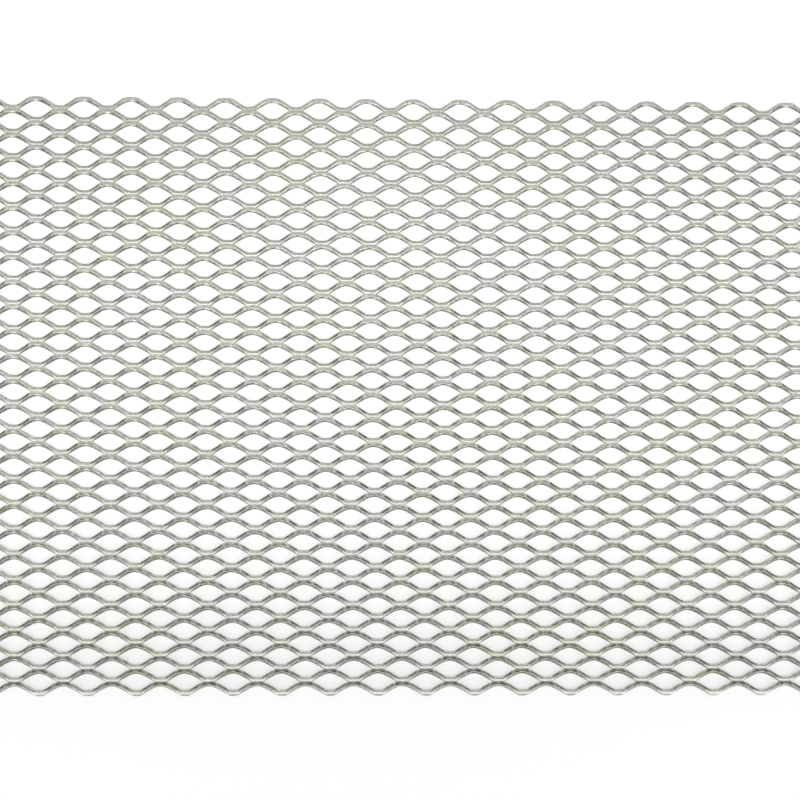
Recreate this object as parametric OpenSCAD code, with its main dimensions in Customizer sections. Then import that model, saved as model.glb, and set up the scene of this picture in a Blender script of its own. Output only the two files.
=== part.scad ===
// Expanded metal sheet: one sheet of steel, slit and drawn into a diamond mesh.
// X runs the long way of the mesh, Y the short way, and Z is up.
// The origin is at the middle of the sheet's underside.

/* [Mesh] */
// Long pitch: bond centre to bond centre along X
long_pitch = 10; // [6:0.5:20]
// Short pitch: bond centre to bond centre along Y
short_pitch = 5.22; // [4:0.02:10]
// Tilt of the strands out of the plane of the mesh, in degrees
strand_tilt = 42; // [25:1:60]
// Sideways creep of the slits from each row to the next
row_creep = -0.06; // [-0.3:0.01:0.3]

/* [Strand] */
// Strand width: the feed of steel between two slits
strand_width = 0.8; // [0.4:0.05:1.6]
// Thickness of the steel sheet that was slit
steel_thickness = 1; // [0.5:0.1:2]
// Length of the uncut bond between two strands
bond_length = 2; // [1:0.1:4]
// Drop of the drawn strand's face below the next strand's at a bond
bond_step = 0.3; // [0:0.05:0.6]

/* [Sheet] */
// Length of the sheet along X
sheet_length = 250; // [50:10:500]
// Width of the sheet along Y, rounded to whole strands
sheet_width = 125; // [25:5:250]
// Colour of the dull mill-finish steel
steel_colour = "#8c8c86"; // [#8c8c86, #a5a7a8, #6f6f6b]

/* [Hidden] */
NODES = ["mesh_band_1", "mesh_band_2", "mesh_band_3", "mesh_band_4"];

// Bands of mesh in the sheet, strands in each, and strands in all
band_count = len(NODES);
band_strands = max(1, round(2 * sheet_width / short_pitch / band_count));
strand_count = band_count * band_strands;

// Step from one strand to the next across the steel and through it,
// in whole hundredths so that the faces of a bond meet exactly
row_across = round(50 * short_pitch * cos(strand_tilt)) / 100;
row_through = round(50 * short_pitch * sin(strand_tilt)) / 100;
row_tilt = atan2(row_through, row_across);
row_pitch = norm([row_across, row_through]);

// From the low bond of a strand to the high bond on its right
half_pitch = long_pitch / 2 + row_creep;

// Room for a cutter to pass clear of the strand
clear = 1;

// Height that sets the lowest edge of the strands on the ground
lift = strand_width * sin(row_tilt);

// Depth of one strand along Y, from its low bond to its high bond
strand_depth = row_pitch + (steel_thickness - bond_step) * sin(row_tilt);

// Repeats that carry a strand past both ends of the sheet
reach = ceil(sheet_length / long_pitch / 2) + 1;

// Middle of the low bond nearest the middle of strand k, with an opening at the origin
function bond_x(k) =
    let (x = long_pitch / 2 + (k - strand_count / 2) * half_pitch)
    x - long_pitch * round(x / long_pitch);

// One edge of strand k along X: flat at each low bond, straight up the legs
// by this rise, and flat at each high bond, the whole of it raised by h.
// With a drop, the flat at a high bond lies lower and ends farther down the legs
function strand_edge(k, rise, h, drop = 0) = [
    for (n = [-reach : reach])
        let (
            low = bond_x(k) + n * long_pitch,
            high = low + half_pitch,
            right_run = half_pitch - bond_length,
            left_run = long_pitch - half_pitch - bond_length
        )
        each [
            [low - bond_length / 2, h],
            [low + bond_length / 2, h],
            [high - bond_length / 2 - right_run * drop / rise, h + rise - drop],
            [high + bond_length / 2 + left_run * drop / rise, h + rise - drop]
        ]
];

// A run of points cut off square at plus and minus this X
function cut_off(run, end) = concat(
    [[-end, lookup(-end, run)]],
    [for (p = run) if (abs(p[0]) < end - 0.02) p],
    [[end, lookup(end, run)]]
);

// The same points from last to first
function backward(run) = [for (i = [len(run) - 1 : -1 : 0]) run[i]];

// A zigzag ribbon with this rise and depth, and this drop in its upper edge, cut off at plus and minus this X
module ribbon(k, rise, depth, drop, end) {
    polygon(concat(
        cut_off(strand_edge(k, rise, 0), end),
        backward(cut_off(strand_edge(k, rise, depth, drop), end))
    ));
}

// One strand: opened out across the steel, drawn down through it,
// thinned at its high bonds, and sheared off square at both ends of the sheet
module strand(k) {
    intersection() {
        translate([0, 0, -clear])
            linear_extrude(row_through + steel_thickness + 2 * clear)
                ribbon(k, row_across - strand_width, strand_width, 0, sheet_length / 2 + clear);
        translate([0, row_across + clear, 0])
            rotate([90, 0, 0])
                linear_extrude(row_across + 2 * clear)
                    ribbon(k, row_through, steel_thickness, bond_step, sheet_length / 2);
    }
}

// One band of strands, fused at their bonds
module mesh_band(b) {
    color(steel_colour)
        translate([0, -strand_depth / 2, lift])
            rotate([-row_tilt, 0, 0])
                for (k = [b * band_strands : (b + 1) * band_strands - 1])
                    translate([0, (k - (strand_count - 1) / 2) * row_across,
                        (k - (strand_count - 1) / 2) * row_through])
                        strand(k);
}

mesh_band(0);  // mesh_band_1
mesh_band(1);  // mesh_band_2
mesh_band(2);  // mesh_band_3
mesh_band(3);  // mesh_band_4
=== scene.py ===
import math

import bmesh
import bpy
import numpy as np
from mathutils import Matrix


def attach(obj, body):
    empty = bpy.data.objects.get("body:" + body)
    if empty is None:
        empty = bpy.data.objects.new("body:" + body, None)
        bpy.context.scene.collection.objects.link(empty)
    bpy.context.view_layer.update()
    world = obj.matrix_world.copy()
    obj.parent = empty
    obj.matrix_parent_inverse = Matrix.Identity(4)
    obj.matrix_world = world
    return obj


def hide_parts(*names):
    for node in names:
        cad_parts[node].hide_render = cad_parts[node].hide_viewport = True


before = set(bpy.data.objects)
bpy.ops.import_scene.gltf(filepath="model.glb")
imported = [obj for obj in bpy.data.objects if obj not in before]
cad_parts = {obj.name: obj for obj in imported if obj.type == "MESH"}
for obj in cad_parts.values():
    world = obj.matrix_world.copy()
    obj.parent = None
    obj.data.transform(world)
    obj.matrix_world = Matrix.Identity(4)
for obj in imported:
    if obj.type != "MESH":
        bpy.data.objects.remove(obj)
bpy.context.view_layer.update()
print("frame loaded, nodes:", sorted(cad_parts))

mm = 0.001


# colours are written as sRGB hex and turned to linear here
def hexColour(code):
    parts = [int(code[i:i + 2], 16) / 255 for i in (1, 3, 5)]
    linear = [c / 12.92 if c <= 0.04045 else ((c + 0.055) / 1.055) ** 2.4 for c in parts]
    return tuple(linear) + (1.0,)


# adds one node, sets its properties and sockets, and links what is given as a socket.
# a socket goes by its name, with _ for a space, or by its number, as i0
def addNode(tree, kind, settings=None, **sockets):
    node = tree.nodes.new(kind)
    for name, value in (settings or {}).items():
        setattr(node, name, value)
    for key, value in sockets.items():
        byNumber = key[0] == "i" and key[1:].isdigit()
        socket = node.inputs[int(key[1:]) if byNumber else key.replace("_", " ")]
        if isinstance(value, bpy.types.NodeSocket):
            tree.links.new(value, socket)
        else:
            socket.default_value = value
    return node


def newMaterial(name):
    material = bpy.data.materials.new(name)
    material.use_nodes = True
    material.node_tree.nodes.clear()
    return material, material.node_tree


# the mesh, in mm and degrees. the first three lines are the sizes that the solids have
sheet = {
    "longPitch": 10.0, "shortPitch": 5.22, "tilt": 42.0, "creep": -0.06,
    "strandWidth": 0.8, "steel": 1.0, "bond": 2.0, "bondStep": 0.3,
    "length": 250.0, "strands": 48, "bands": 4,
    # a flat runs from the middle of a bond to the middle of a bend, and a bend is given by its half length
    "slitFlat": 0.75, "slitBend": 0.2,    # the tight bend at a slit's end
    "landFlat": 1.15,                     # the same for the edge that the blade rolled over
    "crownFlat": 0.6, "crownBend": 0.8,   # the easy bend round an opening
    "archFlat": 0.35, "archBend": 0.8,    # edges that arch over an opening, across the steel
    "dipFlat": 0.75, "dipBend": 0.7,      # and through it
    "footFlat": 0.6, "footDraw": 0.8,     # the lowest edge leaves the bond sooner, across and through
    "drawFlat": 0.95, "drawBend": 0.4,    # the bend where the strand was drawn down
    "bondFade": 0.9,      # how far past its end a bond's own shape fades out
    "slant": 0.1,         # how far the sheared face leans back over its height, away from low bonds
    "seam": 0.015,        # how far two strands run into each other at a bond
    # how far the rolled edge was pushed over the seam. distances from a bond: the full lap, and its end
    "lap": 0.09, "lapFlat": 1.2, "lapEnd": 1.7,
    # how far the drawn strand lies below the next one: at their seam, at its twisted ridge and underneath
    "seamStep": 0.34, "ridgeStep": 0.46, "bondDrop": 0.06,
    "stepFlat": 0.9, "stepEnd": 1.7,      # distances from a bond: the step's full depth, and its end
    # size of the edge that the blade rolled over
    "rollAtBond": 0.35, "rollOnLeg": 0.06, "rollAtCrown": 0.05,
    "rollFlat": 1.2, "rollEnd": 2.1,      # distances from a bond: the full roll, and its end
    "rollLean": 11.0,     # degrees that the rolled edge leans towards the slit
    # size of two other edges. the burr is left sharp
    "shoulder": 0.02, "shoulderAtBond": 0.015, "under": 0.05,
    "stations": (0.0, 0.5, 0.85, 1.15, 1.5, 2.0),  # distances from a bond at which a strand gets a section
    "endGap": 0.05,       # a sheared end has no section nearer than this
    "sharpAngle": 35.0,   # faces that meet at more degrees than this keep a hard edge
}

# the step from a strand to the next, across the steel and through it, in whole hundredths as in the solids
rowAcross = round(50 * sheet["shortPitch"] * math.cos(math.radians(sheet["tilt"]))) / 100
rowThrough = round(50 * sheet["shortPitch"] * math.sin(math.radians(sheet["tilt"]))) / 100
rowTilt = math.atan2(rowThrough, rowAcross)
rowPitch = math.hypot(rowAcross, rowThrough)
halfPitch = sheet["longPitch"] / 2 + sheet["creep"]
lift = sheet["strandWidth"] * math.sin(rowTilt)
strandDepth = rowPitch + (sheet["steel"] - sheet["bondStep"]) * math.sin(rowTilt)

# ways round a corner of the section, as shares of the corner's size along its two sides
sharp = [(0.0, 0.0)]
bevel = [(0.0, 1.0), (1.0, 0.0)]
rounded = [(0.0, 1.0), (0.293, 0.293), (1.0, 0.0)]
land = [(1.1, 0.0), (0.94, 0.06), (0.8, 0.2), (0.2, 0.8), (0.06, 0.94), (0.0, 1.1)]  # flat, with eased ends

# finish of the strip after each point of the section, in the order
# underside, sheared face, sheet face, land, sheared face
rolledFace, shearedFace, rubbedPaintedHighlightFace = 0, 1, 2
stripFinish = [rolledFace] * 3 + [shearedFace] + [rolledFace] * 2 + [rubbedPaintedHighlightFace] * 5 + [shearedFace]


# middle of the low bond of strand k that is nearest the middle of the sheet
def lowBondX(k):
    x = sheet["longPitch"] / 2 + (k - sheet["strands"] / 2) * halfPitch
    return x - sheet["longPitch"] * round(x / sheet["longPitch"])


# a straight leg between two flats, with its two bends eased by their half lengths
def easedLeg(s, run, softLow, softHigh):
    def ease(d, soft):
        return np.where(d < -soft, 0.0, np.where(d > soft, d, (d + soft) ** 2 / (4 * soft)))
    return (ease(s, softLow) - ease(s - run, softHigh)) / run


# places along X at which strand k gets a section
def stationsX(k):
    end = sheet["length"] / 2
    pitch = sheet["longPitch"]
    reach = math.ceil(sheet["length"] / pitch / 2) + 1
    xs = []
    for n in range(-reach, reach + 1):
        low = lowBondX(k) + n * pitch
        high = low + halfPitch
        for d in sheet["stations"]:
            xs += [low + d, low - d, high - d, high + d]
        xs += [low + halfPitch / 2, high + (pitch - halfPitch) / 2]
    xs = sorted(set(round(x, 4) for x in xs))
    xs = [x for x in xs if abs(x) < end - sheet["endGap"]]
    return np.array([-end] + xs + [end])


# how far up from its low bond a strand is at each x, from 0 to 1
def climb(k, xs, flatLow, flatHigh, softLow, softHigh):
    pitch = sheet["longPitch"]
    d = np.mod(xs - lowBondX(k), pitch)
    right = easedLeg(d - flatLow, halfPitch - flatLow - flatHigh, softLow, softHigh)
    left = easedLeg(pitch - d - flatLow, pitch - halfPitch - flatLow - flatHigh, softLow, softHigh)
    return np.where(d <= halfPitch, right, left)


# how far each x is from the strand's nearest low bond and its nearest high bond
def bondDistances(k, xs):
    pitch = sheet["longPitch"]
    d = np.mod(xs - lowBondX(k), pitch)
    return np.minimum(d, pitch - d), np.abs(d - halfPitch)


# 1 up to the first distance, 0 from the second, and smooth between
def fade(d, full, none):
    s = np.clip((none - d) / (none - full), 0.0, 1.0)
    return s * s * (3 - 2 * s)


# the points round the strand's section at every x, as (n, 12, 3) in mm
def strandRings(k):
    xs = stationsX(k)

    def edge(rise, flatLow, flatHigh, bendLow, bendHigh):
        return rise * climb(k, xs, sheet[flatLow], sheet[flatHigh], sheet[bendLow], sheet[bendHigh])

    # places across the steel, then through it
    opened = rowAcross - sheet["strandWidth"]
    lowerEdge = edge(opened, "footFlat", "archFlat", "slitBend", "archBend")
    rolledEdge = edge(opened, "landFlat", "archFlat", "slitBend", "archBend")
    upperEdge = edge(opened, "crownFlat", "slitFlat", "crownBend", "slitBend") + sheet["strandWidth"]
    under = edge(rowThrough, "drawFlat", "drawFlat", "drawBend", "drawBend")
    foot = edge(rowThrough, "footDraw", "dipFlat", "drawBend", "dipBend")
    rolled = edge(rowThrough, "landFlat", "dipFlat", "drawBend", "dipBend")

    # at a low bond the strand laps the one before it
    fromLow, fromHigh = bondDistances(k, xs)
    bondEnd = sheet["bond"] / 2
    low = fade(fromLow, bondEnd, bondEnd + sheet["bondFade"])
    high = fade(fromHigh, bondEnd, bondEnd + sheet["bondFade"])
    lap = sheet["seam"] * low + sheet["lap"] * fade(fromLow, sheet["lapFlat"], sheet["lapEnd"])
    lowerEdge = lowerEdge - lap
    rolledEdge = rolledEdge - lap + sheet["slant"] * (1 - low)
    upperEdge = upperEdge + sheet["seam"] * high

    # at a high bond it lies below the next one
    step = fade(fromHigh, sheet["stepFlat"], sheet["stepEnd"])
    shoulder = under + sheet["steel"] - sheet["seamStep"] * step
    ridge = rolled + sheet["steel"] - sheet["ridgeStep"] * step
    under = under - sheet["bondDrop"] * step
    foot = foot - sheet["bondDrop"] * step

    # sizes of the edges
    fullRoll = fade(fromLow, sheet["rollFlat"], sheet["rollEnd"])
    roll = sheet["rollOnLeg"] + (sheet["rollAtBond"] - sheet["rollOnLeg"]) * fullRoll
    roll = roll + (sheet["rollAtCrown"] - sheet["rollOnLeg"]) * high
    rollDepth = roll * math.tan(rowTilt + math.radians(sheet["rollLean"]))
    shoulderEdge = sheet["shoulder"] + (sheet["shoulderAtBond"] - sheet["shoulder"]) * high

    # each corner: its place, its size across and through the steel, the way in and the way round
    corners = [
        (lowerEdge, foot, sheet["under"], sheet["under"], 1, 1, rounded),
        (upperEdge, under, 0.0, 0.0, -1, 1, sharp),
        (upperEdge, shoulder, shoulderEdge, shoulderEdge, -1, -1, bevel),
        (rolledEdge, ridge, roll, rollDepth, 1, -1, land),
    ]
    ring = []
    for u, v, sizeU, sizeV, wayU, wayV, points in corners:
        ring += [(u + wayU * sizeU * a, v + wayV * sizeV * b) for a, b in points]
    fromMiddle = k - (sheet["strands"] - 1) / 2
    across = np.stack([p[0] for p in ring], 1) + fromMiddle * rowAcross
    through = np.stack([p[1] for p in ring], 1) + fromMiddle * rowThrough
    y = across * math.cos(rowTilt) + through * math.sin(rowTilt) - strandDepth / 2
    z = -across * math.sin(rowTilt) + through * math.cos(rowTilt) + lift
    return np.stack([np.repeat(xs[:, None], len(ring), 1), y, z], -1)


# some strands as one mesh, each closed at both ends
def strandsObject(name, numbers):
    points, faces, finish = [], [], []
    start = 0
    for k in numbers:
        rings = strandRings(k)
        n, m = rings.shape[:2]
        points.append(rings.reshape(-1, 3) * mm)
        for i in range(n - 1):
            for j in range(m):
                a, b = start + i * m + j, start + i * m + (j + 1) % m
                faces.append((a, b, b + m, a + m))
                finish.append(stripFinish[j])
        faces.append(tuple(start + j for j in range(m))[::-1])
        faces.append(tuple(start + (n - 1) * m + j for j in range(m)))
        finish += [shearedFace, shearedFace]
        start += n * m
    data = bpy.data.meshes.new(name)
    data.from_pydata(np.concatenate(points).tolist(), [], faces)
    for finishSteel in (rolledSteel, shearedSteel, rubbedPaintedHighlightSteel):
        data.materials.append(finishSteel)
    data.polygons.foreach_set("material_index", finish)
    build = bmesh.new()
    build.from_mesh(data)
    bmesh.ops.recalc_face_normals(build, faces=build.faces)
    build.to_mesh(data)
    build.free()
    piece = bpy.data.objects.new(name, data)
    bpy.context.scene.collection.objects.link(piece)
    return piece


# every other strand stands clear of the rest, so one union joins a band at its bonds
def meshBand(number):
    count = sheet["strands"] // sheet["bands"]
    first = (number - 1) * count
    piece = strandsObject("drawnStrands%d" % number, range(first, first + count, 2))
    rest = strandsObject("restOfBand%d" % number, range(first + 1, first + count, 2))
    joint = piece.modifiers.new("bonds", "BOOLEAN")
    joint.operation = "UNION"
    joint.solver = "MANIFOLD"
    joint.object = rest
    graph = bpy.context.evaluated_depsgraph_get()
    joined = bpy.data.meshes.new_from_object(piece.evaluated_get(graph))
    piece.modifiers.clear()
    plain = piece.data
    piece.data = joined
    bpy.data.meshes.remove(plain)
    leftover = rest.data
    bpy.data.objects.remove(rest)
    bpy.data.meshes.remove(leftover)
    joined.polygons.foreach_set("use_smooth", [True] * len(joined.polygons))
    joined.set_sharp_from_angle(angle=math.radians(sheet["sharpAngle"]))
    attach(piece, "root")
    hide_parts("mesh_band_%d" % number)
    triangles = sum(len(p.vertices) - 2 for p in joined.polygons)
    print("band", number, "triangles:", triangles, "slots:", len(joined.materials))


# what the three finishes of the one steel share
steel = {
    "cloud": (0.32, 0.68),   # where the mottle's noise goes from dark to light
    # rolling oil left a faint olive film in patches some 20 mm wide
    "film": "#fdfff2", "filmPatch": 20.0, "filmEdge": (0.35, 0.65),
    # painted glints, a paler colour in random crystals that stands in for the light they catch, and pits
    # that hold dirt, and how strong either gets
    "paintedGlint": "#f4f4f0", "paintedGlintMost": 0.6, "pit": "#73746a", "pitMost": 0.55,
    "sheen": (0.3, 0.7), "sheenGrain": 0.6,   # where the noise goes from smooth to rough, and its scale
    "crystalHeight": 0.35,   # how much of the bump the crystals give
}


# one finish. grain, crystal and bump are in mm, the grain along the strand, across the steel and through it
def steelFinish(look):
    material, tree = newMaterial(look["name"])
    place = addNode(tree, "ShaderNodeTexCoord")
    turned = addNode(tree, "ShaderNodeVectorRotate", {"rotation_type": "X_AXIS"},
                     Vector=place.outputs["Object"], Angle=rowTilt)
    grain = addNode(tree, "ShaderNodeMapping", None,
                    Vector=turned.outputs[0], Scale=[1 / (g * mm) for g in look["grain"]])
    mottle = addNode(tree, "ShaderNodeTexNoise", None,
                     Vector=grain.outputs[0], Scale=1.0, Detail=3.0, Roughness=0.62)
    tone = addNode(tree, "ShaderNodeMapRange", None,
                   Value=mottle.outputs[0], From_Min=steel["cloud"][0], From_Max=steel["cloud"][1])
    colour = addNode(tree, "ShaderNodeMix", {"data_type": "RGBA"},
                     i0=tone.outputs[0], i6=hexColour(look["dark"]), i7=hexColour(look["light"]))
    film = addNode(tree, "ShaderNodeTexNoise", None,
                   Vector=place.outputs["Object"], Scale=1 / (steel["filmPatch"] * mm), Detail=2.0)
    film = addNode(tree, "ShaderNodeMapRange", None,
                   Value=film.outputs[0], From_Min=steel["filmEdge"][0], From_Max=steel["filmEdge"][1])
    colour = addNode(tree, "ShaderNodeMix", {"data_type": "RGBA", "blend_type": "MULTIPLY"},
                     i0=film.outputs[0], i6=colour.outputs[2], i7=hexColour(steel["film"]))
    # real crystals and pits are finer than a pixel, these are as coarse as one
    cells = addNode(tree, "ShaderNodeTexVoronoi", None,
                    Vector=turned.outputs[0], Scale=1 / (look["crystal"] * mm))
    chance = addNode(tree, "ShaderNodeSeparateColor", None, Color=cells.outputs["Color"])
    # painted glints: random cells get a paler colour in place of the light that crystals catch, and pits
    # get a darker one for their dirt
    paintedGlint = addNode(tree, "ShaderNodeMapRange", None, Value=chance.outputs[0],
                    From_Min=1 - look["paintedGlints"], From_Max=1.0, To_Max=steel["paintedGlintMost"])
    pit = addNode(tree, "ShaderNodeMapRange", None, Value=chance.outputs[1],
                  From_Min=1 - look["pits"], From_Max=1.0, To_Max=steel["pitMost"])
    colour = addNode(tree, "ShaderNodeMix", {"data_type": "RGBA"},
                     i0=paintedGlint.outputs[0], i6=colour.outputs[2], i7=hexColour(steel["paintedGlint"]))
    colour = addNode(tree, "ShaderNodeMix", {"data_type": "RGBA"},
                     i0=pit.outputs[0], i6=colour.outputs[2], i7=hexColour(steel["pit"]))
    rough = addNode(tree, "ShaderNodeTexNoise", None,
                    Vector=grain.outputs[0], Scale=steel["sheenGrain"], Detail=2.0)
    rough = addNode(tree, "ShaderNodeMapRange", None, Value=rough.outputs[0],
                    From_Min=steel["sheen"][0], From_Max=steel["sheen"][1],
                    To_Min=look["roughness"][0], To_Max=look["roughness"][1])
    height = addNode(tree, "ShaderNodeMath", {"operation": "MULTIPLY_ADD"},
                     i0=chance.outputs[2], i1=steel["crystalHeight"], i2=mottle.outputs[0])
    bump = addNode(tree, "ShaderNodeBump", None,
                   Strength=1.0, Distance=look["bump"] * mm, Height=height.outputs[0])
    shader = addNode(tree, "ShaderNodeBsdfPrincipled", None, Base_Color=colour.outputs[2], Metallic=1.0,
                     Roughness=rough.outputs[0], Normal=bump.outputs[0])
    addNode(tree, "ShaderNodeOutputMaterial", None, Surface=shader.outputs[0])
    return material


# cold rolled and left as the mill made it: a satin grey, clouded, with fine lines along the strand
rolledSteel = steelFinish({
    "name": "coldRolledMildSteel", "light": "#cfd0cb", "dark": "#afb0ab", "roughness": (0.2, 0.34),
    "grain": (0.9, 0.35, 0.35), "crystal": 0.3, "paintedGlints": 0.05, "pits": 0.04, "bump": 0.008,
})
# sheared by the blade: torn grain, with the most painted glints standing in for its sparkle, and streaks
# through the steel
shearedSteel = steelFinish({
    "name": "shearedMildSteel", "light": "#cacac6", "dark": "#a1a29e", "roughness": (0.22, 0.36),
    "grain": (0.35, 0.6, 0.6), "crystal": 0.26, "paintedGlints": 0.08, "pits": 0.05, "bump": 0.012,
})
# the edge that the blade rolled over and rubbed smooth. its paler colour is a painted highlight over the
# light that the lamps give it
rubbedPaintedHighlightSteel = steelFinish({
    "name": "bladeRubbedPaintedHighlightSteel", "light": "#dbdbd7", "dark": "#c3c3bf", "roughness": (0.2, 0.3),
    "grain": (0.9, 0.4, 0.4), "crystal": 0.3, "paintedGlints": 0.04, "pits": 0.02, "bump": 0.006,
})
print("steel made")

for bandNumber in range(1, sheet["bands"] + 1):
    meshBand(bandNumber)
print("mesh made")

# white matt card that the sheet lies on, in m. its glow is less towards the front, between these two mm of
# Y, as a painted shade
card = {
    "size": 3.0, "cuts": 4, "colour": "#c8c8c8", "roughness": 0.9,
    "glow": (0.53, 0.71), "paintedShadeFall": (-65.0, -10.0),
}
cardWhite, tree = newMaterial("whiteMattCard")
path = addNode(tree, "ShaderNodeLightPath")
seen = addNode(tree, "ShaderNodeMath", {"operation": "MAXIMUM"},
               i0=path.outputs["Is Camera Ray"], i1=path.outputs["Is Glossy Ray"])
seen = addNode(tree, "ShaderNodeMath", {"operation": "MAXIMUM"},
               i0=seen.outputs[0], i1=path.outputs["Is Transmission Ray"])
place = addNode(tree, "ShaderNodeTexCoord")
place = addNode(tree, "ShaderNodeSeparateXYZ", None, Vector=place.outputs["Object"])
# painted shade: the card's glow drops towards its front
glow = addNode(tree, "ShaderNodeMapRange", None, Value=place.outputs[1],
               From_Min=card["paintedShadeFall"][0] * mm, From_Max=card["paintedShadeFall"][1] * mm,
               To_Min=card["glow"][0], To_Max=card["glow"][1])
glow = addNode(tree, "ShaderNodeMath", {"operation": "MULTIPLY"}, i0=seen.outputs[0], i1=glow.outputs[0])
shader = addNode(tree, "ShaderNodeBsdfPrincipled", None,
                 Base_Color=hexColour(card["colour"]), Roughness=card["roughness"],
                 Emission_Color=(1, 1, 1, 1), Emission_Strength=glow.outputs[0])
addNode(tree, "ShaderNodeOutputMaterial", None, Surface=shader.outputs[0])
data = bpy.data.meshes.new("card")
build = bmesh.new()
bmesh.ops.create_grid(build, x_segments=card["cuts"], y_segments=card["cuts"], size=card["size"] / 2)
build.to_mesh(data)
build.free()
data.materials.append(cardWhite)
floor = bpy.data.objects.new("card", data)
bpy.context.scene.collection.objects.link(floor)

# soft studio light: a pale room, wide lamps above, and lower ones all round
room = {"colour": "#e6e6e6", "strength": 0.09}
world = bpy.data.worlds.new("paleRoom")
world.use_nodes = True
tree = world.node_tree
tree.nodes.clear()
back = addNode(tree, "ShaderNodeBackground", None,
               Color=hexColour(room["colour"]), Strength=room["strength"])
addNode(tree, "ShaderNodeOutputWorld", None, Surface=back.outputs[0])
bpy.context.scene.world = world

# in m. strength is what a lamp's face gives off, where 1 is the white of the floor
lamps = [
    {"name": "topLamp", "at": (0.0, -0.31, 0.86), "size": (1.1, 0.56), "strength": 1.2},
    {"name": "topStripLamp", "at": (0.0, -0.13, 0.85), "size": (1.0, 0.14), "strength": 0.7},
    {"name": "backLamp", "at": (0.0, 0.5, 0.067), "size": (0.8, 0.134), "strength": 0.85},
    {"name": "backHighLamp", "at": (0.0, 0.5, 0.24), "size": (0.8, 0.2), "strength": 0.7},
    {"name": "backUpperLamp", "at": (0.0, 0.45, 0.33), "size": (0.8, 0.16), "strength": 0.75},
    {"name": "frontHighLamp", "at": (0.0, -0.4, 0.4), "size": (0.8, 0.2), "strength": 0.5},
    {"name": "frontLamp", "at": (0.0, -0.5, 0.24), "size": (0.8, 0.2), "strength": 1.1},
    {"name": "frontLeftLamp", "at": (-0.16, -0.23, 0.095), "size": (0.16, 0.09), "strength": 2.2},
    {"name": "frontRightLamp", "at": (0.16, -0.23, 0.095), "size": (0.16, 0.09), "strength": 2.3},
    {"name": "leftLamp", "at": (-0.31, 0.0, 0.26), "size": (0.4, 0.15), "strength": 0.8},
    {"name": "rightLamp", "at": (0.31, 0.0, 0.26), "size": (0.4, 0.15), "strength": 1.0},
    {"name": "leftLowLamp", "at": (-0.4, 0.06, 0.17), "size": (0.5, 0.13), "strength": 0.5},
    {"name": "rightLowLamp", "at": (0.4, 0.06, 0.17), "size": (0.5, 0.13), "strength": 0.5},
]
for lamp in lamps:
    light = bpy.data.lights.new(lamp["name"], "AREA")
    light.shape = "RECTANGLE"
    light.size, light.size_y = lamp["size"]
    light.energy = lamp["strength"] * math.pi * lamp["size"][0] * lamp["size"][1]
    holder = bpy.data.objects.new(lamp["name"], light)
    holder.location = lamp["at"]
    aim = -holder.location
    holder.rotation_euler = aim.to_track_quat("-Z", "Y").to_euler()
    bpy.context.scene.collection.objects.link(holder)
print("lights set")

# the camera looks down on the middle of the sheet, in mm and degrees
view = {
    "at": (-8.375, -25.916, 336.497), "turn": (4.1763, -1.5762, 0.0833),
    "lens": 72.0, "sensor": 36.0, "nearest": 10.0,
}
lens = bpy.data.cameras.new("camera")
lens.sensor_width = view["sensor"]
lens.lens = view["lens"]
lens.clip_start = view["nearest"] * mm
camera = bpy.data.objects.new("camera", lens)
camera.location = [c * mm for c in view["at"]]
camera.rotation_euler = [math.radians(a) for a in view["turn"]]
bpy.context.scene.collection.objects.link(camera)
bpy.context.scene.camera = camera
bpy.context.scene.view_settings.view_transform = "Standard"

print("done")
